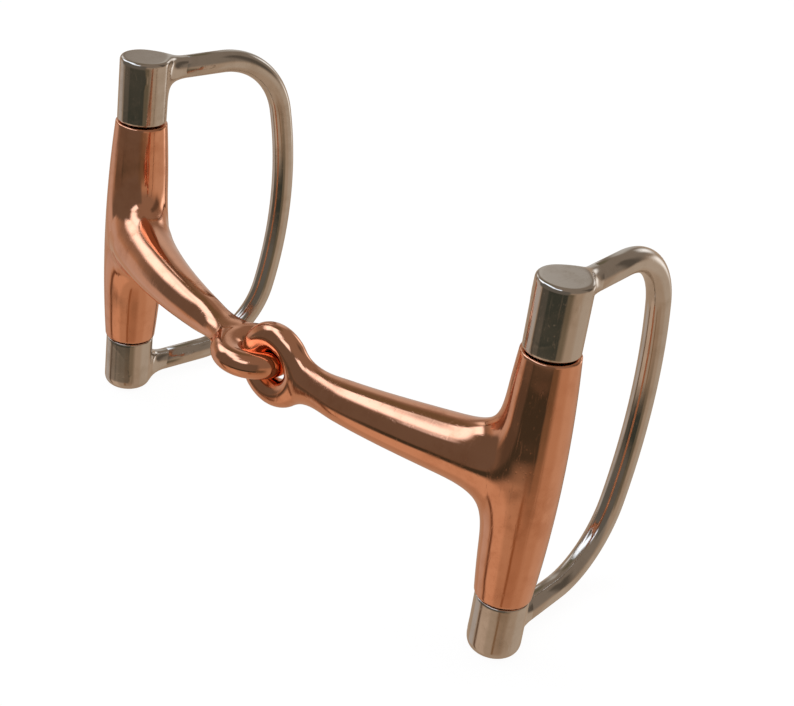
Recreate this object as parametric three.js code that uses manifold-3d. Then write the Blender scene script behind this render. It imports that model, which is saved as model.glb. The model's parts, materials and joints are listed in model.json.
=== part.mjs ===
// A jointed dee-ring snaffle bit: two copper mouthpiece halves linked by their eyes,
// and two steel cheeks that swing on hinge pins through the mouthpiece barrels.
// Millimetres. +X runs from the left barrel to the right one, +Y to the rear, +Z up
// along the barrels. The origin is under the middle of the bounding box, at its foot.
import * as THREE from "three";
import { mergeVertices } from "three/addons/utils/BufferGeometryUtils.js";
import Module from "manifold-3d";

const wasm = await Module();
wasm.setup();

const DEGREE = Math.PI / 180;
const FIT_GAP = 0.3; // left all round between pieces that are fixed to each other

// Whole bit
const CHEEK_HEIGHT = 88; // over the upper and lower end caps
const BARREL_SPACING = 130; // between the two barrel axes
const LINK_X = 1.7; // middle of the link, from midway between the barrels
const LINK_Y = -15;

// End caps
const CAP_RADIUS = 5.85;
const UPPER_CAP_HEIGHT = 15.5;
const LOWER_CAP_HEIGHT = 13.8;
const CAP_TOP_BEVEL = 0.9;
const CAP_FOOT_ROUND = 2.2;
const CAP_INNER_BEVEL = 0.35;

// Bows
const WIRE_RADIUS = 2.7;
const BOW_ARM_HEIGHT = 40.2; // of the arms, above and below mid-height
const BOW_DEPTH = 44.8; // from the barrel axis to the outermost stretch
const BOW_CORNER_RADIUS = 20;
const BOW_OUTER_RADIUS = 103;
const BOW_END_DEPTH = 3.2; // where the arm ends inside the cap
const LEFT_SWING = 86 * DEGREE; // direction that each bow points at rest
const RIGHT_SWING = 96.6 * DEGREE;

// Barrels and hinge pins
const BARREL_END_RADIUS = 6.15;
const BARREL_BULGE = 1.3; // extra radius at the middle
const BARREL_GAP = 0.45; // running gap to the caps
const PIN_RADIUS = 2.5;
const PIN_END_HEIGHT = 35.5;

// Cannons, measured along the run from the barrel axis
const CANNON_RADIUS_AT_BARREL = 8;
const CANNON_TAPER = 0.078; // radius lost for each millimetre of run
const CANNON_WIDEST_HALF = 7.2;
const LEFT_CANNON_HEADING = 30 * DEGREE; // forward of the line between the barrels
const RIGHT_CANNON_HEADING = 16 * DEGREE;
const HEADING_AT_EYE = 3 * DEGREE;
const CANNON_FILLET = 6;

// Eyes
const EYE_RADIUS = 6.7;
const EYE_WIRE_RADIUS = 2.9;
const EYE_PLAY = 0.5; // clearance between the two eyes' wires
const EYE_NECK_LENGTH = 13;
const EYE_NECK_HALF_WIDTH = 5; // across the eye's plane where the cannon meets it

const COPPER = { color: 0xb8795a, roughness: 0.18, metalness: 1 };
const STEEL = { color: 0xa3968a, roughness: 0.15, metalness: 1 };
const PIN_STEEL = { color: 0x8f8b86, roughness: 0.35, metalness: 1 };

const ROUND_SIDES = 28;
const WIRE_SIDES = 14;
const BOW_STEPS = 46;
const EYE_SIDES = 12;
const EYE_STEPS = 28;
const CANNON_SIDES = 20;
const CANNON_STEPS = 18;

const BARREL_TOP = CHEEK_HEIGHT / 2 - UPPER_CAP_HEIGHT - BARREL_GAP;
const BARREL_FOOT = -CHEEK_HEIGHT / 2 + LOWER_CAP_HEIGHT + BARREL_GAP;

// ---- joining and cutting ----

function toSolid(geometry) {
  const bare = geometry.clone();
  bare.deleteAttribute("normal");
  bare.deleteAttribute("uv");
  const merged = mergeVertices(bare, 1e-4);
  const mesh = new wasm.Mesh({
    numProp: 3,
    vertProperties: merged.attributes.position.array,
    triVerts: new Uint32Array(merged.index.array),
  });
  return new wasm.Manifold(mesh);
}

function toGeometry(solid) {
  const mesh = solid.getMesh();
  const geometry = new THREE.BufferGeometry();
  const positions = new THREE.BufferAttribute(mesh.vertProperties, 3);
  geometry.setAttribute("position", positions);
  geometry.setIndex(new THREE.BufferAttribute(mesh.triVerts, 1));
  geometry.computeVertexNormals();
  return geometry;
}

function named(name, geometry, finish) {
  const mesh = new THREE.Mesh(geometry, new THREE.MeshStandardMaterial(finish));
  mesh.name = name;
  return mesh;
}

// ---- shapes that several pieces share ----

// A solid of revolution about Z from [radius, height] points, listed from the foot up.
function turned(points, sides = ROUND_SIDES) {
  const profile = points.map(([radius, height]) => new THREE.Vector2(radius, height));
  return new THREE.LatheGeometry(profile, sides).rotateX(Math.PI / 2);
}

function rod(radius, foot, top, sides = ROUND_SIDES) {
  return turned([[0, foot], [radius, foot], [radius, top], [0, top]], sides);
}

// The bow's centre line in its own plane: X out from the barrel axis, Z up.
class BowLine extends THREE.Curve {
  constructor() {
    super();
    this.outerX = BOW_DEPTH - BOW_OUTER_RADIUS;
    this.cornerZ = BOW_ARM_HEIGHT - BOW_CORNER_RADIUS;
    const reach = BOW_OUTER_RADIUS - BOW_CORNER_RADIUS;
    this.cornerX = this.outerX + Math.sqrt(reach ** 2 - this.cornerZ ** 2);
    this.cornerEnd = Math.atan2(this.cornerZ, this.cornerX - this.outerX);
    this.armLength = this.cornerX - BOW_END_DEPTH;
    this.cornerLength = BOW_CORNER_RADIUS * (Math.PI / 2 - this.cornerEnd);
    this.outerLength = BOW_OUTER_RADIUS * this.cornerEnd;
    this.halfLength = this.armLength + this.cornerLength + this.outerLength;
  }

  // Upper half, by the distance run from the end inside the upper cap.
  upperPoint(run) {
    if (run < this.armLength) {
      return [BOW_END_DEPTH + run, BOW_ARM_HEIGHT];
    }
    const turn = run - this.armLength;
    if (turn < this.cornerLength) {
      const angle = Math.PI / 2 - turn / BOW_CORNER_RADIUS;
      const x = this.cornerX + BOW_CORNER_RADIUS * Math.cos(angle);
      return [x, this.cornerZ + BOW_CORNER_RADIUS * Math.sin(angle)];
    }
    const angle = (this.halfLength - run) / BOW_OUTER_RADIUS;
    const x = this.outerX + BOW_OUTER_RADIUS * Math.cos(angle);
    return [x, BOW_OUTER_RADIUS * Math.sin(angle)];
  }

  getPoint(t, target = new THREE.Vector3()) {
    const run = t * 2 * this.halfLength;
    const mirrored = run > this.halfLength;
    const [x, z] = this.upperPoint(mirrored ? 2 * this.halfLength - run : run);
    return target.set(x, 0, mirrored ? -z : z);
  }
}

function wireAlong(path, radius, steps) {
  const section = new THREE.Shape().absarc(0, 0, radius, 0, 2 * Math.PI, false);
  return new THREE.ExtrudeGeometry(section, {
    steps,
    extrudePath: path,
    curveSegments: WIRE_SIDES,
    bevelEnabled: false,
  });
}

// ---- pieces, each in its side's own frame: barrel axis on Z, mid-height at zero ----

function pinSolid(clearance) {
  const end = PIN_END_HEIGHT + clearance;
  return toSolid(rod(PIN_RADIUS + clearance, -end, end));
}

// The space that a bow's two ends take in the caps, for a bow that points along +X.
function armSockets() {
  const radius = WIRE_RADIUS + FIT_GAP;
  const inner = BOW_END_DEPTH - FIT_GAP;
  const outer = CAP_RADIUS + 2;
  const bar = rod(radius, inner, outer).rotateY(Math.PI / 2);
  const upper = toSolid(bar.clone().translate(0, 0, BOW_ARM_HEIGHT));
  return upper.add(toSolid(bar.translate(0, 0, -BOW_ARM_HEIGHT)));
}

function upperCap() {
  const top = CHEEK_HEIGHT / 2;
  const foot = top - UPPER_CAP_HEIGHT;
  const body = turned([
    [0, foot],
    [CAP_RADIUS - CAP_INNER_BEVEL, foot],
    [CAP_RADIUS, foot + CAP_INNER_BEVEL],
    [CAP_RADIUS, top - CAP_TOP_BEVEL],
    [CAP_RADIUS - CAP_TOP_BEVEL / 3, top - CAP_TOP_BEVEL / 3],
    [CAP_RADIUS - CAP_TOP_BEVEL, top],
    [0, top],
  ]);
  return toGeometry(toSolid(body).subtract(pinSolid(FIT_GAP)).subtract(armSockets()));
}

function lowerCap() {
  const foot = -CHEEK_HEIGHT / 2;
  const top = foot + LOWER_CAP_HEIGHT;
  const rounding = [0, 1, 2, 3, 4].map((step) => {
    const angle = (step / 4) * (Math.PI / 2);
    const radius = CAP_RADIUS - CAP_FOOT_ROUND * (1 - Math.sin(angle));
    return [radius, foot + CAP_FOOT_ROUND * (1 - Math.cos(angle))];
  });
  const body = turned([
    [0, foot],
    ...rounding,
    [CAP_RADIUS, top - CAP_INNER_BEVEL],
    [CAP_RADIUS - CAP_INNER_BEVEL, top],
    [0, top],
  ]);
  return toGeometry(toSolid(body).subtract(pinSolid(FIT_GAP)).subtract(armSockets()));
}

function barrelSolid() {
  const middle = (BARREL_TOP + BARREL_FOOT) / 2;
  const half = (BARREL_TOP - BARREL_FOOT) / 2;
  const rings = 10;
  const wall = [];
  for (let ring = 0; ring <= rings; ring++) {
    const height = BARREL_FOOT + (ring / rings) * 2 * half;
    const share = (height - middle) / half;
    wall.push([BARREL_END_RADIUS + BARREL_BULGE * (1 - share ** 2), height]);
  }
  return toSolid(turned([[0, BARREL_FOOT], ...wall, [0, BARREL_TOP]]));
}

// Half-height that the fillet between cannon and barrel adds at a distance out.
function filletRise(run) {
  const fromWall = run - BARREL_END_RADIUS - BARREL_BULGE;
  if (fromWall >= CANNON_FILLET) {
    return 0;
  }
  const left = CANNON_FILLET - Math.max(fromWall, 0);
  return CANNON_FILLET - Math.sqrt(CANNON_FILLET ** 2 - left ** 2);
}

// The cannon's run in plan: from the barrel axis to the near side of its eye.
function cannonRun(side, heading, eyeCentre) {
  const start = new THREE.Vector3(0, 0, 0);
  const out = headingFromBarrel(side, heading);
  const arrive = headingFromBarrel(side, HEADING_AT_EYE);
  const end = eyeCentre.clone().addScaledVector(arrive, -EYE_RADIUS);
  const handle = end.length() / 3;
  return new THREE.CubicBezierCurve3(
    start,
    start.clone().addScaledVector(out, handle),
    end.clone().addScaledVector(arrive, -handle),
    end,
  );
}

// Direction in plan that leads from a barrel towards the link; side is -1 left, 1 right.
function headingFromBarrel(side, angle) {
  return new THREE.Vector3(-side * Math.cos(angle), -Math.sin(angle), 0);
}

function cannonSolid(run, upright) {
  const length = run.getLength();
  const tube = new THREE.CylinderGeometry(1, 1, 1, CANNON_SIDES, CANNON_STEPS);
  const position = tube.attributes.position;
  const up = new THREE.Vector3(0, 0, 1);
  for (let i = 0; i < position.count; i++) {
    const share = THREE.MathUtils.clamp(position.getY(i) + 0.5, 0, 1);
    const distance = share * length;
    const plain = CANNON_RADIUS_AT_BARREL - CANNON_TAPER * distance;
    const fromEnd = length - distance;
    const neck = 1 - THREE.MathUtils.smoothstep(fromEnd, 0, EYE_NECK_LENGTH);
    const wide = THREE.MathUtils.lerp(plain, EYE_NECK_HALF_WIDTH, neck);
    const thin = THREE.MathUtils.lerp(plain, EYE_WIRE_RADIUS, neck);
    const halfHeight = (upright ? wide : thin) + filletRise(distance);
    const halfWidth = Math.min(upright ? thin : wide, CANNON_WIDEST_HALF);
    const across = run.getTangentAt(share).cross(up);
    const point = run.getPointAt(share);
    point.addScaledVector(across, position.getX(i) * halfWidth);
    point.addScaledVector(up, position.getZ(i) * halfHeight);
    position.setXYZ(i, point.x, point.y, point.z);
  }
  return toSolid(tube);
}

function eyeSolid(side, centre, upright) {
  const ring = new THREE.TorusGeometry(EYE_RADIUS, EYE_WIRE_RADIUS, EYE_SIDES, EYE_STEPS);
  if (upright) {
    ring.rotateX(Math.PI / 2);
    ring.rotateZ(side * HEADING_AT_EYE);
  }
  ring.translate(centre.x, centre.y, centre.z);
  return toSolid(ring);
}

// The tip of each eye's wire stands across the link's middle from its own barrel.
function eyeCentre(side) {
  const arrive = headingFromBarrel(side, HEADING_AT_EYE);
  const link = new THREE.Vector3(LINK_X - (side * BARREL_SPACING) / 2, LINK_Y, 0);
  const tip = EYE_WIRE_RADIUS + EYE_PLAY / 2;
  return link.addScaledVector(arrive, tip - EYE_RADIUS);
}

function mouthpieceHalf(side, heading, upright) {
  const centre = eyeCentre(side);
  const cannon = cannonSolid(cannonRun(side, heading, centre), upright);
  const casting = barrelSolid().add(cannon).add(eyeSolid(side, centre, upright));
  const bore = toSolid(rod(PIN_RADIUS + FIT_GAP, BARREL_FOOT - 1, BARREL_TOP + 1));
  return toGeometry(casting.subtract(bore));
}

function bow() {
  const solid = toSolid(wireAlong(new BowLine(), WIRE_RADIUS, BOW_STEPS));
  return toGeometry(solid);
}

// ---- assembly ----

// A cheek is built with its bow along +X, then swung to its resting direction.
function cheek(sideName, swing) {
  const group = new THREE.Group();
  group.add(named(`${sideName}_bow`, bow(), STEEL));
  group.add(named(`${sideName}_upper_cap`, upperCap(), STEEL));
  group.add(named(`${sideName}_lower_cap`, lowerCap(), STEEL));
  const pin = rod(PIN_RADIUS, -PIN_END_HEIGHT, PIN_END_HEIGHT);
  group.add(named(`${sideName}_hinge_pin`, pin, PIN_STEEL));
  group.rotation.z = swing;
  return group;
}

function sideOfBit(sideName, side, swing, heading, upright) {
  const group = new THREE.Group();
  const half = mouthpieceHalf(side, heading, upright);
  group.add(named(`${sideName}_mouthpiece_half`, half, COPPER));
  group.add(cheek(sideName, swing));
  group.position.x = (side * BARREL_SPACING) / 2;
  return group;
}

const bit = new THREE.Group();
bit.add(sideOfBit("left", -1, LEFT_SWING, LEFT_CANNON_HEADING, false));
bit.add(sideOfBit("right", 1, RIGHT_SWING, RIGHT_CANNON_HEADING, true));

// Put the origin under the middle of the bounding box.
const box = new THREE.Box3().setFromObject(bit, true);
const middle = box.getCenter(new THREE.Vector3());
bit.position.set(-middle.x, -middle.y, -box.min.z);

export default bit;
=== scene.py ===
"""Builds the finished look of a jointed dee-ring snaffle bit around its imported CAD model.

Lengths are in metres. +X runs from the left barrel to the right one, +Y to the rear and
+Z up along the barrels. Each cast or welded piece starts as spun and extruded solids,
is joined by a voxel remesh, and is then drawn onto the exact rounded surface.
"""

import json
import math

import bmesh
import bpy
import numpy as np
from bpy.props import (
    FloatProperty,
    FloatVectorProperty,
    IntProperty,
    PointerProperty,
)
from mathutils import Matrix, Vector


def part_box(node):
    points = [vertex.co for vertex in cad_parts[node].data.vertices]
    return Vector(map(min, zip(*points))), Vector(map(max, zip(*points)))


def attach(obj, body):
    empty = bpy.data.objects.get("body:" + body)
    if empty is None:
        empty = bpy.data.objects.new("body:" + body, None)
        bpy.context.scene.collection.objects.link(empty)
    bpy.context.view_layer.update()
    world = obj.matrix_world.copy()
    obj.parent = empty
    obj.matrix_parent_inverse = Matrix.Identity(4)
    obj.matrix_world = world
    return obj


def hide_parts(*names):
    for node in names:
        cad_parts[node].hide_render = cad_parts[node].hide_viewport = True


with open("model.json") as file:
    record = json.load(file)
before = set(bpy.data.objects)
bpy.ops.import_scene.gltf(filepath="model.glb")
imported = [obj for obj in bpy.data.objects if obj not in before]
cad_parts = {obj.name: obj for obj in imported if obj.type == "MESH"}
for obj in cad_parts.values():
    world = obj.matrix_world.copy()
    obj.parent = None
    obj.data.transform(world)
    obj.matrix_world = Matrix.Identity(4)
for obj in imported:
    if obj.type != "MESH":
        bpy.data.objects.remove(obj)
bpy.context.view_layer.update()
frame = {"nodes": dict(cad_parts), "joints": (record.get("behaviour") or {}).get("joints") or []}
JOINTS = {joint["name"]: joint for joint in frame["joints"]}

bl_info = {
    "name": "Snaffle Bit",
    "version": (1, 0, 0),
    "blender": (4, 5, 0),
    "location": "View3D > Sidebar > Snaffle Bit",
    "description": "Builds a jointed copper and steel snaffle bit with its studio",
    "category": "Object",
}

SIDES = {"left": -1, "right": 1}
UP = Vector((0, 0, 1))
MM = 0.001
WHITE = (1, 1, 1)

# Shape
ROUNDING_REACH = 1.17  # how far a rounded edge reaches, over its radius
FILLET_FADE = 0.75  # power by which a fillet fades where surfaces run side by side
CANNON_START = 5.2 * MM  # where the cannon's own solid starts, from the barrel's axis
NECK_EDGE = MM / 10  # rounding of the two ends of a cap's neck
BARREL_POINTS = 17  # along the outline of the barrel's rough solid
CAP_VOXEL_SHARE = 0.8  # remesh size of the caps, over that of the mouthpiece
CORNER_STEPS = 36  # round each of a bow's corners
OUTER_STEPS = 60  # along a bow's long outer stretch

# Metal. A pair of edges holds the noise values between which a mark fades in.
FILM_EDGES = (0.36, 0.68)
PATCH_EDGES = (0.3, 0.7)
PATCH_SCALE = 95.0  # of the broad patches that break up the film
SCRATCH_EDGES = (0.62, 0.8)
SCRATCH_SETS = (  # turn and stretch of three sets of hairlines that cross each other
    ((0.3, 0.2, 0.9), (2600, 60, 900)),
    ((1.1, 0.6, 0.1), (2200, 900, 70)),
    ((0.5, 1.3, 2.1), (900, 2400, 80)),
)
SCRATCH_ROUGHNESS = 0.12  # added where there is a scratch
WORN_PIN = 0.7  # the pin's worn colour, over its clean one

# Floor and surroundings
FLOOR_REACH = 3.0  # from the middle of the floor to its edges
FLOOR_GLOW = 0.9  # share of the floor's white that is even, so that shadows stay faint
FLOOR_BRIGHTNESS = 1.06  # of that even white
FLOOR_ROUGHNESS = 0.8
GRAIN_SCALE = 900.0
GRAIN_EDGES = (0.3, 0.7)
GRAIN_SHADE = 0.98  # the grain's darker colour, over the floor's own
HORIZON = (-0.15, 0.3)  # rise of the line of sight over which below turns into above
SENSOR_WIDTH = 36.0  # in millimetres


# ---------------------------------------------------------------------------
# Sizes, colours and camera values
# ---------------------------------------------------------------------------


def length(name, description, default_mm):
    """A length property, given in millimetres and held in metres."""
    return FloatProperty(
        name=name,
        description=description,
        default=default_mm * MM,
        min=0.0,
        unit="LENGTH",
        precision=5,
    )


def angle(name, description, default_degrees):
    """An angle property, given in degrees and held in radians."""
    return FloatProperty(
        name=name,
        description=description,
        default=math.radians(default_degrees),
        unit="ROTATION",
    )


def colour(name, description, default):
    """A linear RGB colour property."""
    return FloatVectorProperty(
        name=name,
        description=description,
        default=default,
        subtype="COLOR",
        size=3,
        min=0.0,
        max=1.0,
    )


class CheekSizes(bpy.types.PropertyGroup):
    """Sizes of the steel cheeks."""

    wire_radius: length("Wire radius", "Radius of the bow's wire", 2.7)
    arm_height: length("Arm height", "Height of the arms from mid-height", 40.2)
    depth: length("Bow depth", "From the barrel axis to the outermost stretch", 44.79)
    corner_radius: length("Corner radius", "Radius of the bow's two corners", 20.0)
    outer_radius: length("Outer radius", "Radius of the long outer stretch", 103.0)
    arm_start: length("Arm start", "Where the arm starts inside the cap", 4.0)
    stub_end: length("Stub end", "How far the cap's welded neck reaches out", 15.0)
    stub_inset: length("Stub inset", "How far the neck's core lies under the wire", 0.012)
    weld_blend: length("Weld blend", "Size of the dressed weld around the wire", 7.5)
    cap_radius: length("Cap radius", "Radius of the end caps", 5.85)
    top_round: length("Top edge", "Rounding of the upper cap's top edge", 0.9)
    foot_round: length("Foot edge", "Rounding of the lower cap's foot", 2.2)
    inner_round: length("Inner edge", "Rounding of the edge next to the barrel", 0.35)
    socket_radius: length("Pin socket", "Radius of the pin's blind socket", 2.8)
    socket_reach: length("Socket reach", "Half length between the socket ends", 35.8)
    left_swing: angle("Left swing", "Direction that the left bow points", 86.0)
    right_swing: angle("Right swing", "Direction that the right bow points", 96.6)


class MouthpieceSizes(bpy.types.PropertyGroup):
    """Sizes of the two copper halves."""

    end_radius: length("Barrel end radius", "Radius at the barrel's ends", 6.15)
    bulge: length("Barrel bulge", "Extra radius at the barrel's middle", 1.3)
    edge_round: length("Barrel edge", "Rounding of the barrel's end edges", 0.3)
    bore_radius: length("Bore radius", "Radius of the hole for the hinge pin", 2.8)
    cannon_radius: length("Cannon radius", "Radius extrapolated to the barrel axis", 8.0)
    cannon_widest: length("Widest half", "Largest half width in plan", 7.2)
    taper: FloatProperty(
        name="Taper",
        description="Radius lost for each unit of run",
        default=0.078,
    )
    left_heading: angle("Left heading", "Left cannon forward of the barrel line", 30.0)
    right_heading: angle("Right heading", "Right cannon forward of the line", 16.0)
    eye_heading: angle("Eye heading", "Direction of both cannons at the link", 3.0)
    eye_radius: length("Eye radius", "Middle radius of the eyes", 6.7)
    eye_wire: length("Eye wire radius", "Radius of the eyes' round section", 2.9)
    eye_play: length("Eye play", "Clearance between the two eyes", 0.5)
    neck_length: length("Neck length", "Stretch that flattens into the eye", 13.0)
    neck_width: length("Neck half width", "Half width where it meets the eye", 4.4)
    neck_blend: length("Neck blend", "Blend between the cannon and the eye", 10.0)
    fillet: length("Cannon fillet", "Blend between the cannon and the barrel", 13.0)


class Finish(bpy.types.PropertyGroup):
    """Colours of the metals, the floor and what the metals mirror."""

    copper: colour("Copper", "Clean polished copper", (0.90, 0.45, 0.28))
    copper_worn: colour("Worn copper", "Handled, slightly tarnished copper", (0.78, 0.36, 0.21))
    steel: colour("Steel", "Polished stainless steel", (0.66, 0.60, 0.54))
    steel_worn: colour("Worn steel", "Steel under a film of handling", (0.58, 0.51, 0.44))
    pin: colour("Pin steel", "Plain turned steel", (0.40, 0.38, 0.36))
    floor: colour("Floor", "Pale studio floor", (0.93, 0.93, 0.93))
    below: colour("Below", "Shaded table that the metal mirrors", (0.47, 0.35, 0.255))
    above: colour("Above", "Walls and ceiling that the metal mirrors", (0.26, 0.215, 0.175))


class Studio(bpy.types.PropertyGroup):
    """Camera values."""

    target: FloatVectorProperty(
        name="Target",
        description="Point that the camera looks at",
        default=(0.01489, 0.00126, 0.04339),
        subtype="TRANSLATION",
        size=3,
    )
    distance: length("Distance", "From the target to the camera", 356.0)
    azimuth: angle("Azimuth", "Camera's turn about the vertical", 41.42)
    elevation: angle("Elevation", "Camera's height above the horizon", 28.604)
    roll: angle("Roll", "Turn about the line of sight", 8.424)
    lens: FloatProperty(
        name="Lens",
        description="Focal length for a 36 mm sensor, in millimetres",
        default=72.3,
    )


class SnaffleBit(bpy.types.PropertyGroup):
    """Everything that can be set on the bit."""

    cheek: PointerProperty(type=CheekSizes)
    mouthpiece: PointerProperty(type=MouthpieceSizes)
    finish: PointerProperty(type=Finish)
    studio: PointerProperty(type=Studio)
    voxel: length("Voxel", "Remesh size of the cast and welded pieces", 0.4)
    wire_sides: IntProperty(
        name="Wire sides",
        description="Sides of the bow's round section",
        default=64,
        min=8,
    )


# ---------------------------------------------------------------------------
# Exact surfaces: each gives the distance and the outward direction at points
# ---------------------------------------------------------------------------


def unit(vectors):
    """Rows scaled to length one."""
    size = np.linalg.norm(vectors, axis=1, keepdims=True)
    return vectors / np.maximum(size, 1e-12)


def turned_surface(points, centre, radius_at, slope_at):
    """Distance to a surface turned about a vertical axis through centre."""
    flat = points - centre
    reach = np.hypot(flat[:, 0], flat[:, 1])
    height = flat[:, 2]
    slope = slope_at(height)
    cosine = 1 / np.sqrt(1 + slope**2)
    direction = np.stack([flat[:, 0], flat[:, 1], 0 * height], axis=1)
    direction = direction / np.maximum(reach, 1e-9)[:, None]
    direction[:, 2] = -slope
    return (reach - radius_at(height)) * cosine, unit(direction)


def slab(points, low, high):
    """Distance to the solid between two heights."""
    middle = (low + high) / 2
    above = points[:, 2] - middle
    direction = np.zeros_like(points)
    direction[:, 2] = np.sign(above)
    return np.abs(above) - (high - low) / 2, direction


def nearest_on_path(points, path):
    """Index and share of the nearest stretch of a path, for each point."""
    start = path[:-1]
    step = path[1:] - start
    size = (step**2).sum(1)
    best = np.full(len(points), np.inf)
    index = np.zeros(len(points), int)
    share = np.zeros(len(points))
    for i in range(len(start)):
        along = np.clip(((points - start[i]) @ step[i]) / size[i], 0, 1)
        gap = ((points - start[i] - along[:, None] * step[i]) ** 2).sum(1)
        closer = gap < best
        best[closer] = gap[closer]
        index[closer] = i
        share[closer] = along[closer]
    return index, share


def oval_tube(points, path, half_width, half_height):
    """Distance to a tube with an oval section along a level path."""
    index, share = nearest_on_path(points, path)
    step = path[1:] - path[:-1]
    tangent = unit(step)[index]
    here = path[index] + share[:, None] * step[index]
    wide = half_width[index] + share * (half_width[index + 1] - half_width[index])
    high = half_height[index] + share * (half_height[index + 1] - half_height[index])
    across = np.stack([tangent[:, 1], -tangent[:, 0], 0 * share], axis=1)
    offset = points - here
    x = (offset * across).sum(1)
    z = offset[:, 2]
    along = (offset * tangent).sum(1)
    k0 = np.sqrt((x / wide) ** 2 + (z / high) ** 2 + (along / wide) ** 2)
    k1 = np.sqrt((x / wide**2) ** 2 + (z / high**2) ** 2 + (along / wide**2) ** 2)
    distance = k0 * (k0 - 1) / np.maximum(k1, 1e-9)
    direction = across * (x / wide**2)[:, None] + tangent * (along / wide**2)[:, None]
    direction[:, 2] += z / high**2
    return distance, unit(direction)


def ring_surface(points, centre, normal, radius, wire):
    """Distance to a ring of round wire."""
    offset = points - centre
    out = offset @ normal
    flat = offset - out[:, None] * normal
    reach = np.linalg.norm(flat, axis=1)
    spoke = flat / np.maximum(reach, 1e-9)[:, None]
    to_wire = offset - radius * spoke
    return np.linalg.norm(to_wire, axis=1) - wire, unit(to_wire)


def bar_surface(points, origin, direction, radius):
    """Distance to an endless round bar."""
    offset = points - origin
    side = offset - (offset @ direction)[:, None] * direction
    return np.linalg.norm(side, axis=1) - radius, unit(side)


def fillet_union(first, second, blend):
    """Joins two surfaces with a fillet that fades out where they run side by side."""
    (a, grad_a), (b, grad_b) = first, second
    facing = np.clip((grad_a * grad_b).sum(1), -1, 1)
    size = np.maximum(blend * (1 - facing) ** FILLET_FADE, 1e-7)
    overlap = np.clip(1 - np.abs(a - b) / size, 0, 1)
    distance = np.minimum(a, b) - size * overlap**3 / 6
    far_share = overlap**2 / 2
    weight = np.where(a <= b, 1 - far_share, far_share)[:, None]
    return distance, unit(weight * grad_a + (1 - weight) * grad_b)


def rounded_cut(first, second, radius):
    """Keeps what lies inside both surfaces, with their square edges rounded."""
    (a, grad_a), (b, grad_b) = first, second
    size = radius * ROUNDING_REACH
    overlap = np.clip(1 - np.abs(a - b) / size, 0, 1)
    distance = np.maximum(a, b) + size * overlap**2 / 4
    weight = np.clip(0.5 + 0.5 * (a - b) / size, 0, 1)[:, None]
    return distance, unit(weight * grad_a + (1 - weight) * grad_b)


def outside_of(surface):
    """The same surface with its material on the other side."""
    distance, direction = surface
    return -distance, -direction


# ---------------------------------------------------------------------------
# Rough solids, and how they are joined and finished
# ---------------------------------------------------------------------------


def edges_at(verts):
    """Every edge at some vertices, once each and in the same order on each run."""
    return list(dict.fromkeys(edge for vert in verts for edge in vert.link_edges))


def spin_solid(bm, profile, centre, steps=72):
    """Turns a closed outline of (radius, height) points about a vertical axis."""
    place = Vector(centre)
    verts = [bm.verts.new(place + Vector((radius, 0, height))) for radius, height in profile]
    edges = [bm.edges.new((verts[i], verts[i - 1])) for i in range(len(verts))]
    bmesh.ops.spin(
        bm,
        geom=verts + edges,
        cent=place,
        axis=UP,
        angle=2 * math.pi,
        steps=steps,
        use_merge=True,
        use_duplicate=False,
    )


def ring_of_wire(bm, centre, normal, arm, radius, wire, steps=72, sides=28):
    """A full ring of round wire: a circle spun about the ring's axis."""
    middle = Vector(centre)
    spoke = Vector(arm)
    turn_axis = Vector(normal)
    start = middle + spoke * radius
    turn = Matrix((spoke, turn_axis, spoke.cross(turn_axis))).transposed()
    made = bmesh.ops.create_circle(
        bm,
        cap_ends=False,
        radius=wire,
        segments=sides,
        matrix=Matrix.Translation(start) @ turn.to_4x4(),
    )
    verts = made["verts"]
    bmesh.ops.spin(
        bm,
        geom=verts + edges_at(verts),
        cent=middle,
        axis=turn_axis,
        angle=2 * math.pi,
        steps=steps,
        use_merge=True,
        use_duplicate=False,
    )


def oval_rod(bm, path, half_width, half_height, sides=32):
    """A rod with an oval section, extruded from station to station along a path."""

    def station(i):
        ahead = path[min(i + 1, len(path) - 1)] - path[max(i - 1, 0)]
        tangent = Vector(ahead).normalized()
        across = tangent.cross(UP)
        axes = Matrix((across, UP, across.cross(UP))).transposed().to_4x4()
        size = Matrix.Diagonal((half_width[i], half_height[i], 1, 1))
        return Matrix.Translation(Vector(path[i])) @ axes @ size

    made = bmesh.ops.create_circle(
        bm, cap_ends=True, radius=1, segments=sides, matrix=station(0)
    )
    edges = edges_at(made["verts"])
    before = station(0)
    for i in range(1, len(path)):
        grown = bmesh.ops.extrude_edge_only(bm, edges=edges)["geom"]
        verts = [item for item in grown if isinstance(item, bmesh.types.BMVert)]
        edges = [item for item in grown if isinstance(item, bmesh.types.BMEdge)]
        after = station(i)
        bmesh.ops.transform(bm, matrix=after @ before.inverted(), verts=verts)
        before = after
    bmesh.ops.edgeloop_fill(bm, edges=edges)


def new_object(name, bm):
    """Closes a bmesh into an object with its normals pointing out."""
    bmesh.ops.remove_doubles(bm, verts=bm.verts, dist=1e-7)
    bmesh.ops.recalc_face_normals(bm, faces=bm.faces)
    mesh = bpy.data.meshes.new(name)
    bm.to_mesh(mesh)
    bm.free()
    piece = bpy.data.objects.new(name, mesh)
    bpy.context.scene.collection.objects.link(piece)
    return piece


def remesh(piece, voxel):
    """Joins a piece's overlapping solids into one even skin."""
    modifier = piece.modifiers.new("Join", "REMESH")
    modifier.mode = "VOXEL"
    modifier.voxel_size = voxel
    depsgraph = bpy.context.evaluated_depsgraph_get()
    joined = bpy.data.meshes.new_from_object(piece.evaluated_get(depsgraph))
    piece.modifiers.remove(modifier)
    old = piece.data
    piece.data = joined
    bpy.data.meshes.remove(old)


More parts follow.
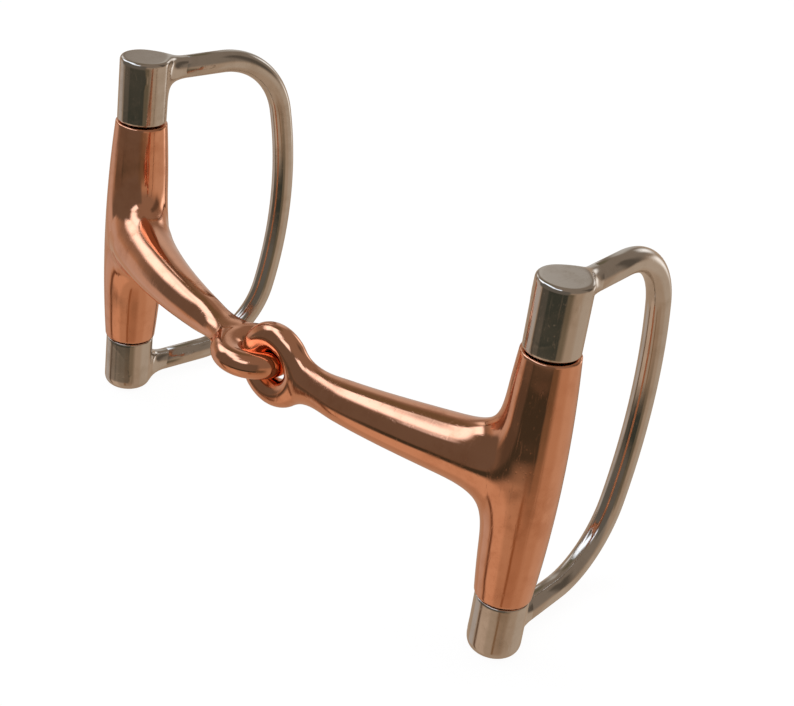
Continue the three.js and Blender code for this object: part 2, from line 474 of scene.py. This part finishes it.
def draw_onto(piece, surface, sweeps=3, rounds=6, largest=0.4 * MM):
    """Moves a piece's points onto an exact surface, then evens them and repeats."""
    mesh = piece.data
    for sweep in range(sweeps):
        if sweep:
            bm = bmesh.new()
            bm.from_mesh(mesh)
            bmesh.ops.smooth_vert(
                bm,
                verts=bm.verts,
                factor=0.5,
                use_axis_x=True,
                use_axis_y=True,
                use_axis_z=True,
            )
            bm.to_mesh(mesh)
            bm.free()
        points = np.zeros(len(mesh.vertices) * 3)
        mesh.vertices.foreach_get("co", points)
        points = points.reshape(-1, 3)
        for _ in range(rounds):
            distance, direction = surface(points)
            move = np.clip(distance, -largest, largest)
            points = points - move[:, None] * direction
        mesh.vertices.foreach_set("co", points.ravel())
        mesh.update()


def place_piece(piece, body, slot, material, *nodes):
    """Gives a finished piece its surface and body, and hides the CAD nodes it stands for; the
    slot is not used.
    """
    piece.data.materials.clear()
    piece.data.materials.append(material)
    for polygon in piece.data.polygons:
        polygon.use_smooth = True
    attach(piece, body)
    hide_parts(*nodes)


# ---------------------------------------------------------------------------
# Copper mouthpiece halves
# ---------------------------------------------------------------------------


def barrel_axis(side_name):
    """Point on a barrel's axis at mid-height."""
    return np.array(JOINTS[f"{side_name}_cheek_swing"]["pos_m"])


def towards_link(side, heading):
    """Level direction that leads from a barrel to the link."""
    return np.array([-side * math.cos(heading), -math.sin(heading), 0])


def link_point(sizes):
    """Middle of the link, from the fold's axis through the right eye's tip."""
    tip = sizes.eye_wire + sizes.eye_play / 2
    fold = np.array(JOINTS["mouthpiece_fold"]["pos_m"])
    return fold - tip * towards_link(SIDES["right"], sizes.eye_heading)


class HalfShape:
    """The exact shape of one mouthpiece half."""

    def __init__(self, side_name, sizes):
        self.sizes = sizes
        self.side = SIDES[side_name]
        self.upright = side_name == "right"
        self.axis = barrel_axis(side_name)
        low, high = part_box(f"{side_name}_mouthpiece_half")
        self.foot = low.z
        self.top = high.z
        self.barrel_middle = (self.top + self.foot) / 2 - self.axis[2]
        self.barrel_half = (self.top - self.foot) / 2
        self.arrive = towards_link(self.side, sizes.eye_heading)
        tip = sizes.eye_wire + sizes.eye_play / 2
        self.eye = link_point(sizes) + self.arrive * (tip - sizes.eye_radius)
        if self.upright:
            self.eye_normal = np.cross(self.arrive, np.array(UP))
        else:
            self.eye_normal = np.array(UP)
        heading = sizes.left_heading if side_name == "left" else sizes.right_heading
        self.path = self.cannon_path(towards_link(self.side, heading))
        self.half_width, self.half_height = self.cannon_section()
        away = np.linalg.norm(self.path - self.axis, axis=1)
        self.outside_pin = slice(int(np.searchsorted(away, CANNON_START)), None)

    def cannon_path(self, out, stations=64):
        """A smooth level run from the barrel axis to the near side of the eye."""
        end = self.eye - self.arrive * self.sizes.eye_radius
        handle = np.linalg.norm(end - self.axis) / 3
        first = self.axis + out * handle
        second = end - self.arrive * handle
        t = np.linspace(0, 1, stations)[:, None]
        return (
            (1 - t) ** 3 * self.axis
            + 3 * t * (1 - t) ** 2 * first
            + 3 * t**2 * (1 - t) * second
            + t**3 * end
        )

    def cannon_section(self):
        """Half width and half height at each station of the path."""
        sizes = self.sizes
        step = np.linalg.norm(np.diff(self.path, axis=0), axis=1)
        run = np.concatenate([[0], np.cumsum(step)])
        plain = sizes.cannon_radius - sizes.taper * run
        neck = 1 - np.clip((run[-1] - run) / sizes.neck_length, 0, 1)
        neck = neck**2 * (3 - 2 * neck)
        wide = plain + (sizes.neck_width - plain) * neck
        thin = plain + (sizes.eye_wire - plain) * neck
        half_width = np.minimum(thin if self.upright else wide, sizes.cannon_widest)
        half_height = wide if self.upright else thin
        return half_width, half_height

    def cannon_run(self):
        """Path, half width and half height of the part of the cannon clear of the pin."""
        stretch = self.outside_pin
        return self.path[stretch], self.half_width[stretch], self.half_height[stretch]

    def barrel_radius(self, height):
        """Radius of the barrel at a height over its axis point."""
        share = (height - self.barrel_middle) / self.barrel_half
        return self.sizes.end_radius + self.sizes.bulge * (1 - share**2)

    def barrel_slope(self, height):
        """How fast the barrel's radius changes with height."""
        return -2 * self.sizes.bulge * (height - self.barrel_middle) / self.barrel_half**2

    def surface(self, points):
        """Distance and outward direction of the whole casting."""
        sizes = self.sizes
        barrel = turned_surface(points, self.axis, self.barrel_radius, self.barrel_slope)
        cannon = oval_tube(points, *self.cannon_run())
        eye = ring_surface(
            points, self.eye, self.eye_normal, sizes.eye_radius, sizes.eye_wire
        )
        arm = fillet_union(cannon, eye, sizes.neck_blend)
        casting = fillet_union(barrel, arm, sizes.fillet)
        casting = rounded_cut(casting, slab(points, self.foot, self.top), sizes.edge_round)
        bore = bar_surface(points, self.axis, np.array(UP), sizes.bore_radius)
        return rounded_cut(casting, outside_of(bore), sizes.edge_round)

    def solids(self):
        """The casting's rough solids, before they are joined."""
        bm = bmesh.new()
        heights = np.linspace(self.foot, self.top, BARREL_POINTS) - self.axis[2]
        outer = [(self.barrel_radius(height), height) for height in heights]
        bore = self.sizes.bore_radius
        profile = [(bore, heights[0]), *outer, (bore, heights[-1])]
        spin_solid(bm, profile, self.axis)
        oval_rod(bm, *self.cannon_run())
        ring_of_wire(
            bm,
            self.eye,
            self.eye_normal,
            self.arrive,
            self.sizes.eye_radius,
            self.sizes.eye_wire,
        )
        return bm


class BIT_OT_mouthpiece(bpy.types.Operator):
    """Builds the two linked copper halves."""

    bl_idname = "bit.mouthpiece"
    bl_label = "Mouthpiece halves"

    def execute(self, context):
        settings = context.scene.snaffle_bit
        material = copper_material(settings.finish)
        for side_name in SIDES:
            shape = HalfShape(side_name, settings.mouthpiece)
            piece = new_object(f"{side_name}_copper_half", shape.solids())
            remesh(piece, settings.voxel)
            draw_onto(piece, shape.surface)
            cad_node = f"{side_name}_mouthpiece_half"
            place_piece(piece, f"{side_name}_mouthpiece", "copper", material, cad_node)
        return {"FINISHED"}


# ---------------------------------------------------------------------------
# Steel cheeks
# ---------------------------------------------------------------------------


def swing_of(side_name, sizes):
    """Level direction that a bow points."""
    swing = sizes.left_swing if side_name == "left" else sizes.right_swing
    return Vector((math.cos(swing), math.sin(swing), 0))


class CapShape:
    """The exact shape of one end cap with the welded neck of its bow."""

    def __init__(self, side_name, level, sizes):
        self.sizes = sizes
        self.upper = level == "upper"
        low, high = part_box(f"{side_name}_{level}_cap")
        self.foot = low.z
        self.top = high.z
        self.axis = barrel_axis(side_name)
        self.out = np.array(swing_of(side_name, sizes))
        self.sign = 1 if self.upper else -1
        self.arm = self.axis + np.array([0, 0, self.sign * sizes.arm_height])
        self.stub_radius = sizes.wire_radius - sizes.stub_inset

    def surface(self, points):
        """Distance and outward direction of the cap and its neck."""
        sizes = self.sizes
        shell = bar_surface(points, self.axis, np.array(UP), sizes.cap_radius)
        height = self.top - self.foot
        if self.upper:
            near = slab(points, self.foot, self.top + height)
            far = slab(points, self.foot - height, self.top)
            outer_round = sizes.top_round
        else:
            near = slab(points, self.foot - height, self.top)
            far = slab(points, self.foot, self.top + height)
            outer_round = sizes.foot_round
        body = rounded_cut(shell, near, sizes.inner_round)
        neck = bar_surface(points, self.arm, self.out, self.stub_radius)
        along = (points - self.axis) @ self.out - sizes.stub_end / 2
        past_end = np.abs(along) - sizes.stub_end / 2
        neck_ends = (past_end, np.sign(along)[:, None] * self.out)
        neck = rounded_cut(neck, neck_ends, NECK_EDGE)
        joined = fillet_union(body, neck, sizes.weld_blend)
        joined = rounded_cut(joined, far, outer_round)
        socket = bar_surface(points, self.axis, np.array(UP), sizes.socket_radius)
        middle = self.axis[2]
        ends = slab(points, middle - sizes.socket_reach, middle + sizes.socket_reach)
        hole = rounded_cut(socket, ends, sizes.inner_round)
        return rounded_cut(joined, outside_of(hole), sizes.inner_round / 2)

    def solids(self):
        """The cap's rough solids, before they are joined."""
        bm = bmesh.new()
        sizes = self.sizes
        outer = (self.top if self.upper else self.foot) - self.axis[2]
        inner = (self.foot if self.upper else self.top) - self.axis[2]
        end = self.sign * sizes.socket_reach
        profile = [
            (0, end),
            (sizes.socket_radius, end),
            (sizes.socket_radius, inner),
            (sizes.cap_radius, inner),
            (sizes.cap_radius, outer),
            (0, outer),
        ]
        spin_solid(bm, profile, self.axis)
        path = [self.arm + self.out * sizes.arm_start, self.arm + self.out * sizes.stub_end]
        radius = [self.stub_radius] * 2
        oval_rod(bm, np.array(path), radius, radius)
        return bm


class BIT_OT_caps(bpy.types.Operator):
    """Builds the four steel end caps with their welded necks."""

    bl_idname = "bit.caps"
    bl_label = "End caps"

    def execute(self, context):
        settings = context.scene.snaffle_bit
        material = steel_material(settings.finish)
        for side_name in SIDES:
            for level in ("upper", "lower"):
                shape = CapShape(side_name, level, settings.cheek)
                piece = new_object(f"{side_name}_{level}_end_cap", shape.solids())
                remesh(piece, settings.voxel * CAP_VOXEL_SHARE)
                draw_onto(piece, shape.surface)
                cad_node = f"{side_name}_{level}_cap"
                place_piece(piece, f"{side_name}_cheek", "polished_steel", material, cad_node)
        return {"FINISHED"}


def bow_solid(side_name, sizes, sides):
    """The bow's wire: a circle extruded along the arms and spun round the bends."""
    axis = Vector(barrel_axis(side_name))
    out = swing_of(side_name, sizes)
    bend_axis = UP.cross(out)
    outer_x = sizes.depth - sizes.outer_radius
    corner_z = sizes.arm_height - sizes.corner_radius
    reach = sizes.outer_radius - sizes.corner_radius
    corner_x = outer_x + math.sqrt(reach**2 - corner_z**2)
    sweep = math.atan2(corner_z, corner_x - outer_x)

    def spot(x, z):
        return axis + out * x + UP * z

    bm = bmesh.new()
    turn = Matrix((bend_axis, UP, out)).transposed().to_4x4()
    start = Matrix.Translation(spot(sizes.arm_start, sizes.arm_height)) @ turn
    made = bmesh.ops.create_circle(
        bm, cap_ends=False, radius=sizes.wire_radius, segments=sides, matrix=start
    )
    first = edges_at(made["verts"])
    geometry = made["verts"] + first

    def bend(geometry, centre, angle, steps):
        spun = bmesh.ops.spin(
            bm,
            geom=geometry,
            cent=centre,
            axis=bend_axis,
            angle=angle,
            steps=steps,
            use_merge=False,
            use_duplicate=False,
        )
        return spun["geom_last"]

    def push(geometry, offset):
        edges = [item for item in geometry if isinstance(item, bmesh.types.BMEdge)]
        grown = bmesh.ops.extrude_edge_only(bm, edges=edges)["geom"]
        verts = [item for item in grown if isinstance(item, bmesh.types.BMVert)]
        bmesh.ops.translate(bm, vec=offset, verts=verts)
        return [item for item in grown if not isinstance(item, bmesh.types.BMFace)]

    arm = out * (corner_x - sizes.arm_start)
    geometry = push(geometry, arm)
    geometry = bend(geometry, spot(corner_x, corner_z), math.pi / 2 - sweep, CORNER_STEPS)
    geometry = bend(geometry, spot(outer_x, 0), 2 * sweep, OUTER_STEPS)
    geometry = bend(geometry, spot(corner_x, -corner_z), math.pi / 2 - sweep, CORNER_STEPS)
    geometry = push(geometry, -arm)
    last = [item for item in geometry if isinstance(item, bmesh.types.BMEdge)]
    bmesh.ops.edgeloop_fill(bm, edges=first)
    bmesh.ops.edgeloop_fill(bm, edges=last)
    return bm


class BIT_OT_bows(bpy.types.Operator):
    """Builds the two D-shaped bows."""

    bl_idname = "bit.bows"
    bl_label = "Bows"

    def execute(self, context):
        settings = context.scene.snaffle_bit
        material = steel_material(settings.finish)
        for side_name in SIDES:
            bm = bow_solid(side_name, settings.cheek, settings.wire_sides)
            piece = new_object(f"{side_name}_bow_wire", bm)
            cad_node = f"{side_name}_bow"
            place_piece(piece, f"{side_name}_cheek", "polished_steel", material, cad_node)
        return {"FINISHED"}


class BIT_OT_pins(bpy.types.Operator):
    """Gives the hidden hinge pins their turned steel."""

    bl_idname = "bit.pins"
    bl_label = "Hinge pins"

    def execute(self, context):
        material = pin_material(context.scene.snaffle_bit.finish)
        for side_name in SIDES:
            for place in frame["nodes"][f"{side_name}_hinge_pin"].material_slots:
                place.material = material
        return {"FINISHED"}


# ---------------------------------------------------------------------------
# Materials
# ---------------------------------------------------------------------------


def group_socket(tree, name, direction, kind, default=None):
    """A named input or output on a shader node group."""
    socket = tree.interface.new_socket(name=name, in_out=direction, socket_type=kind)
    if default is not None:
        socket.default_value = default


def node(tree, kind, links=(), **values):
    """A shader node whose (socket, value) pairs are linked outputs or plain values."""
    made = tree.nodes.new(kind)
    for name, value in values.items():
        setattr(made, name, value)
    for name, output in links:
        if isinstance(output, bpy.types.NodeSocket):
            tree.links.new(output, made.inputs[name])
        else:
            made.inputs[name].default_value = output
    return made


def maths(tree, operation, first, second):
    """A Math node's output."""
    made = node(tree, "ShaderNodeMath", [(0, first), (1, second)], operation=operation)
    return made.outputs[0]


def ranged(tree, value, low, high, to_low=0.0, to_high=1.0):
    """A clamped Map Range of a value."""
    made = node(
        tree,
        "ShaderNodeMapRange",
        [("Value", value), (1, low), (2, high), (3, to_low), (4, to_high)],
        interpolation_type="SMOOTHSTEP",
    )
    return made.outputs["Result"]


def noise(tree, coordinates, scale, detail=2.0, roughness=0.5):
    """A Noise Texture's value."""
    made = node(
        tree,
        "ShaderNodeTexNoise",
        [("Vector", coordinates), ("Scale", scale), ("Detail", detail), ("Roughness", roughness)],
    )
    return made.outputs[0]


def stretched(tree, coordinates, turn, scale):
    """Coordinates turned and stretched, for scratches in one direction."""
    made = node(
        tree,
        "ShaderNodeMapping",
        [("Vector", coordinates), ("Rotation", turn), ("Scale", scale)],
    )
    return made.outputs[0]


def mixed_colour(tree, share, first, second):
    """A colour mixed from two colours or sockets."""
    ends = [
        end if isinstance(end, bpy.types.NodeSocket) else (*end, 1)
        for end in (first, second)
    ]
    made = node(
        tree,
        "ShaderNodeMix",
        [(0, share), (6, ends[0]), (7, ends[1])],
        data_type="RGBA",
    )
    return made.outputs[2]


def emission(tree, tint, strength):
    """An Emission shader's output."""
    made = node(tree, "ShaderNodeEmission", [("Color", (*tint, 1)), ("Strength", strength)])
    return made.outputs[0]


def mix_shader(tree, share, first, second):
    """A mix of two shaders."""
    return node(tree, "ShaderNodeMixShader", [(0, share), (1, first), (2, second)]).outputs[0]


def handled_metal_group():
    """Group: film of handling, hairline scratches and hand-polished waves on a metal."""
    name = "handled_metal"
    if name in bpy.data.node_groups:
        return bpy.data.node_groups[name]
    tree = bpy.data.node_groups.new(name, "ShaderNodeTree")
    group_socket(tree, "Vector", "INPUT", "NodeSocketVector")
    group_socket(tree, "Wave size", "INPUT", "NodeSocketFloat", 120.0)
    group_socket(tree, "Film size", "INPUT", "NodeSocketFloat", 260.0)
    group_socket(tree, "Scratch depth", "INPUT", "NodeSocketFloat", 0.1)
    group_socket(tree, "Wave depth", "INPUT", "NodeSocketFloat", 0.5)
    group_socket(tree, "Film", "OUTPUT", "NodeSocketFloat")
    group_socket(tree, "Scratches", "OUTPUT", "NodeSocketFloat")
    group_socket(tree, "Height", "OUTPUT", "NodeSocketFloat")
    inputs = tree.nodes.new("NodeGroupInput")
    outputs = tree.nodes.new("NodeGroupOutput")
    vector = inputs.outputs["Vector"]
    cloudy = noise(tree, vector, inputs.outputs["Film size"], 5.0, 0.62)
    patches = noise(tree, vector, PATCH_SCALE)
    film = maths(
        tree,
        "MULTIPLY",
        ranged(tree, cloudy, *FILM_EDGES),
        ranged(tree, patches, *PATCH_EDGES),
    )
    marks = None
    for turn, scale in SCRATCH_SETS:
        lines = noise(tree, stretched(tree, vector, turn, scale), 1.0, 1.0)
        fine = ranged(tree, lines, *SCRATCH_EDGES)
        marks = fine if marks is None else maths(tree, "MAXIMUM", marks, fine)
    waves = noise(tree, vector, inputs.outputs["Wave size"], 1.0, 0.4)
    wave = maths(tree, "MULTIPLY", waves, inputs.outputs["Wave depth"])
    scratch = maths(tree, "MULTIPLY", marks, inputs.outputs["Scratch depth"])
    tree.links.new(film, outputs.inputs["Film"])
    tree.links.new(marks, outputs.inputs["Scratches"])
    tree.links.new(maths(tree, "SUBTRACT", wave, scratch), outputs.inputs["Height"])
    return tree


def metal_material(name, clean, worn, base_roughness, film_roughness, group_values, bump):
    """A polished metal: clean and worn colours mixed by the handled_metal group."""
    material = bpy.data.materials.new(name)
    material.use_nodes = True
    tree = material.node_tree
    shader = tree.nodes["Principled BSDF"]
    place = node(tree, "ShaderNodeTexCoord").outputs["Object"]
    group = tree.nodes.new("ShaderNodeGroup")
    group.node_tree = handled_metal_group()
    tree.links.new(place, group.inputs["Vector"])
    for socket, value in group_values.items():
        group.inputs[socket].default_value = value
    tint = mixed_colour(tree, group.outputs["Film"], clean, worn)
    tree.links.new(tint, shader.inputs["Base Color"])
    rough = ranged(tree, group.outputs["Film"], 0.0, 1.0, base_roughness, film_roughness)
    scuffed = maths(tree, "MULTIPLY", group.outputs["Scratches"], SCRATCH_ROUGHNESS)
    total = maths(tree, "ADD", rough, scuffed)
    tree.links.new(total, shader.inputs["Roughness"])
    raised = node(
        tree,
        "ShaderNodeBump",
        [("Height", group.outputs["Height"]), ("Strength", 1.0), ("Distance", bump)],
    )
    tree.links.new(raised.outputs[0], shader.inputs["Normal"])
    shader.inputs["Metallic"].default_value = 1.0
    return material


def copper_material(finish):
    """Mirror-polished copper with a warm film of handling."""
    return metal_material(
        "polished_copper",
        clean=finish.copper,
        worn=finish.copper_worn,
        base_roughness=0.07,
        film_roughness=0.2,
        group_values={
            "Wave size": 130.0,
            "Film size": 240.0,
            "Scratch depth": 0.04,
            "Wave depth": 1.0,
        },
        bump=0.12 * MM,
    )


def steel_material(finish):
    """Polished stainless steel."""
    existing = bpy.data.materials.get("polished_stainless")
    if existing:
        return existing
    return metal_material(
        "polished_stainless",
        clean=finish.steel,
        worn=finish.steel_worn,
        base_roughness=0.09,
        film_roughness=0.2,
        group_values={
            "Wave size": 110.0,
            "Film size": 300.0,
            "Scratch depth": 0.04,
            "Wave depth": 0.6,
        },
        bump=0.1 * MM,
    )


def pin_material(finish):
    """Plain turned steel of the hidden pins."""
    return metal_material(
        "turned_pin_steel",
        clean=finish.pin,
        worn=[WORN_PIN * channel for channel in finish.pin],
        base_roughness=0.3,
        film_roughness=0.45,
        group_values={
            "Wave size": 400.0,
            "Film size": 500.0,
            "Scratch depth": 0.3,
            "Wave depth": 0.2,
        },
        bump=0.1 * MM,
    )


def floor_material(finish):
    """Pale floor to the eye; the metal mirrors the surroundings in its place."""
    material = bpy.data.materials.new("pale_floor")
    material.use_nodes = True
    tree = material.node_tree
    shader = tree.nodes["Principled BSDF"]
    output = tree.nodes["Material Output"]
    place = node(tree, "ShaderNodeTexCoord").outputs["Object"]
    grain = noise(tree, place, GRAIN_SCALE, 3.0)
    darker = [GRAIN_SHADE * channel for channel in finish.floor]
    tint = mixed_colour(tree, ranged(tree, grain, *GRAIN_EDGES), darker, finish.floor)
    tree.links.new(tint, shader.inputs["Base Color"])
    shader.inputs["Roughness"].default_value = FLOOR_ROUGHNESS
    bright = emission(tree, WHITE, FLOOR_BRIGHTNESS)
    seen = mix_shader(tree, FLOOR_GLOW, shader.outputs[0], bright)

    unseen = node(tree, "ShaderNodeBsdfTransparent").outputs[0]
    camera_ray = node(tree, "ShaderNodeLightPath").outputs["Is Camera Ray"]
    both = mix_shader(tree, camera_ray, unseen, seen)
    tree.links.new(both, output.inputs["Surface"])
    return material


# ---------------------------------------------------------------------------
# Studio
# ---------------------------------------------------------------------------


def aim(obj, place, target, roll=0.0):
    """Places an object so that its -Z axis points at a target."""
    sight = Vector(target) - Vector(place)
    turn = sight.to_track_quat("-Z", "Y").to_matrix().to_4x4()
    obj.matrix_world = Matrix.Translation(Vector(place)) @ turn @ Matrix.Rotation(roll, 4, "Z")


def soft_light(name, place, target, width, height, power):
    """A rectangular soft light that the metals don't mirror."""
    data = bpy.data.lights.new(name, "AREA")
    data.shape = "RECTANGLE"
    data.size = width
    data.size_y = height
    data.energy = power
    light = bpy.data.objects.new(name, data)
    light.visible_glossy = False
    bpy.context.scene.collection.objects.link(light)
    aim(light, place, target)


CARD_ANGLES = ("Compass", "Height", "Half width", "Half height", "Softness")


def card_group():
    """Group: a soft-edged rectangular patch of the surroundings, by compass and height."""
    tree = bpy.data.node_groups.new("studio_card", "ShaderNodeTree")
    group_socket(tree, "Direction", "INPUT", "NodeSocketVector")
    for name in CARD_ANGLES:
        group_socket(tree, name, "INPUT", "NodeSocketFloat")
    group_socket(tree, "Mask", "OUTPUT", "NodeSocketFloat")
    inputs = tree.nodes.new("NodeGroupInput").outputs
    outputs = tree.nodes.new("NodeGroupOutput")
    turned = node(
        tree,
        "ShaderNodeVectorRotate",
        [("Vector", inputs["Direction"]), ("Angle", inputs["Compass"])],
        rotation_type="Z_AXIS",
    )
    parts = node(tree, "ShaderNodeSeparateXYZ", [(0, turned.outputs[0])]).outputs
    across = maths(tree, "ABSOLUTE", maths(tree, "ARCTAN2", parts["X"], parts["Y"]), 0.0)
    above = maths(tree, "ARCSINE", parts["Z"], 0.0)
    upright = maths(tree, "ABSOLUTE", maths(tree, "SUBTRACT", above, inputs["Height"]), 0.0)
    masks = []
    for offset, half in ((across, "Half width"), (upright, "Half height")):
        inner = maths(tree, "SUBTRACT", inputs[half], inputs["Softness"])
        outer = maths(tree, "ADD", inputs[half], inputs["Softness"])
        masks.append(ranged(tree, offset, inner, outer, 1.0, 0.0))
    tree.links.new(maths(tree, "MULTIPLY", *masks), outputs.inputs["Mask"])
    return tree


# What surrounds the bit and shows in its metal: the card_group's angles in degrees, with
# the compass at 0 to the rear and 90 to the right, then the colour.
CARDS = (
    ("table_light", -160, -46, 22, 20, 8, (0.60, 0.45, 0.34)),
    ("table_shade", 122, -38, 22, 14, 10, (0.40, 0.27, 0.18)),
    ("table_rear", 34, -26, 28, 22, 10, (0.53, 0.43, 0.34)),
    ("left_light", -108, -24, 16, 20, 5, (0.52, 0.46, 0.42)),
    ("table_edge", -135, -36, 5, 14, 4, (0.16, 0.09, 0.055)),
    ("camera_shade", 140, -42, 4, 9, 3, (0.26, 0.14, 0.07)),
    ("front_dark", 180, 10, 62, 29, 6, (0.15, 0.135, 0.115)),
    ("floor_shade", 114, -20, 14, 12, 10, (0.16, 0.125, 0.08)),
    ("front_floor_shade", -150, -24, 18, 7, 5, (0.10, 0.088, 0.07)),
    ("front_floor_dark", 160, -24, 37, 7, 4, (0.05, 0.052, 0.04)),
    ("ceiling_dark", -76, 54, 26, 12, 8, (0.165, 0.145, 0.095)),
    ("rear_dark", 33, 24, 13, 26, 8, (0.12, 0.10, 0.08)),
    ("rear_left_wall", -42, 8, 9, 27, 7, (0.54, 0.52, 0.49)),
    ("key", -128, 54, 37, 10, 6, (1.6, 1.85, 2.2)),
    ("side_key", -105, 35, 17, 10, 6, (1.7, 1.9, 2.2)),
    ("front_key", 174, 46, 22, 9, 5, (1.5, 1.7, 2.0)),
    ("low_key", -74, 22, 9, 7, 7, (1.0, 1.0, 1.0)),
    ("rear_key", -12, 13, 8, 9, 7, (1.3, 1.3, 1.3)),
    ("rear_low_key", 5, -10, 7, 9, 6, (1.3, 1.25, 1.2)),
)


def studio_world(finish):
    """Surroundings that the polished metal mirrors, behind a backdrop that is plain white."""
    world = bpy.data.worlds.new("studio")
    bpy.context.scene.world = world
    world.use_nodes = True
    tree = world.node_tree
    background = tree.nodes["Background"]
    direction = node(tree, "ShaderNodeTexCoord").outputs["Generated"]
    group = card_group()
    rise = node(tree, "ShaderNodeSeparateXYZ", [(0, direction)]).outputs["Z"]
    shade = mixed_colour(tree, ranged(tree, rise, *HORIZON), finish.below, finish.above)
    for name, *angles, tint in CARDS:
        card = tree.nodes.new("ShaderNodeGroup")
        card.node_tree = group
        card.label = name
        tree.links.new(direction, card.inputs["Direction"])
        for socket, value in zip(CARD_ANGLES, angles):
            card.inputs[socket].default_value = math.radians(value)
        shade = mixed_colour(tree, card.outputs["Mask"], shade, tint)
    camera_ray = node(tree, "ShaderNodeLightPath").outputs["Is Camera Ray"]
    backdrop = mixed_colour(tree, camera_ray, shade, WHITE)
    tree.links.new(backdrop, background.inputs["Color"])


class BIT_OT_studio(bpy.types.Operator):
    """Builds the floor, the light, the surroundings and the camera."""

    bl_idname = "bit.studio"
    bl_label = "Studio"

    def execute(self, context):
        scene = context.scene
        settings = scene.snaffle_bit
        studio = settings.studio
        target = Vector(studio.target)

        bm = bmesh.new()
        bmesh.ops.create_grid(bm, x_segments=1, y_segments=1, size=FLOOR_REACH)
        floor = new_object("studio_floor", bm)
        floor.data.materials.append(floor_material(settings.finish))

        soft_light(
            "top_light",
            place=(-0.1, 0.15, 0.9),
            target=target,
            width=0.8,
            height=0.5,
            power=3.0,
        )
        studio_world(settings.finish)

        data = bpy.data.cameras.new("camera")
        data.sensor_width = SENSOR_WIDTH
        data.lens = studio.lens
        data.clip_start = 10 * MM
        camera = bpy.data.objects.new("camera", data)
        scene.collection.objects.link(camera)
        flat = math.cos(studio.elevation)
        back = Vector(
            (
                math.sin(studio.azimuth) * flat,
                -math.cos(studio.azimuth) * flat,
                math.sin(studio.elevation),
            )
        )
        aim(camera, target + back * studio.distance, target, studio.roll)
        scene.camera = camera
        scene.view_settings.view_transform = "Standard"
        return {"FINISHED"}


class BIT_PT_panel(bpy.types.Panel):
    """Lists the steps that build the bit."""

    bl_label = "Snaffle Bit"
    bl_idname = "BIT_PT_panel"
    bl_space_type = "VIEW_3D"
    bl_region_type = "UI"
    bl_category = "Snaffle Bit"

    def draw(self, context):
        for step in STEPS:
            self.layout.operator(step.bl_idname)


STEPS = (BIT_OT_mouthpiece, BIT_OT_caps, BIT_OT_bows, BIT_OT_pins, BIT_OT_studio)
CLASSES = (
    CheekSizes,
    MouthpieceSizes,
    Finish,
    Studio,
    SnaffleBit,
    *STEPS,
    BIT_PT_panel,
)


def register():
    """Registers the classes and the scene's settings."""
    for cls in CLASSES:
        bpy.utils.register_class(cls)
    bpy.types.Scene.snaffle_bit = PointerProperty(type=SnaffleBit)


def unregister():
    """Removes what register() added."""
    del bpy.types.Scene.snaffle_bit
    for cls in reversed(CLASSES):
        bpy.utils.unregister_class(cls)


def main():
    """Builds everything in order."""
    register()
    bpy.ops.bit.mouthpiece()
    bpy.ops.bit.caps()
    bpy.ops.bit.bows()
    bpy.ops.bit.pins()
    bpy.ops.bit.studio()


if __name__ == "__main__":
    main()
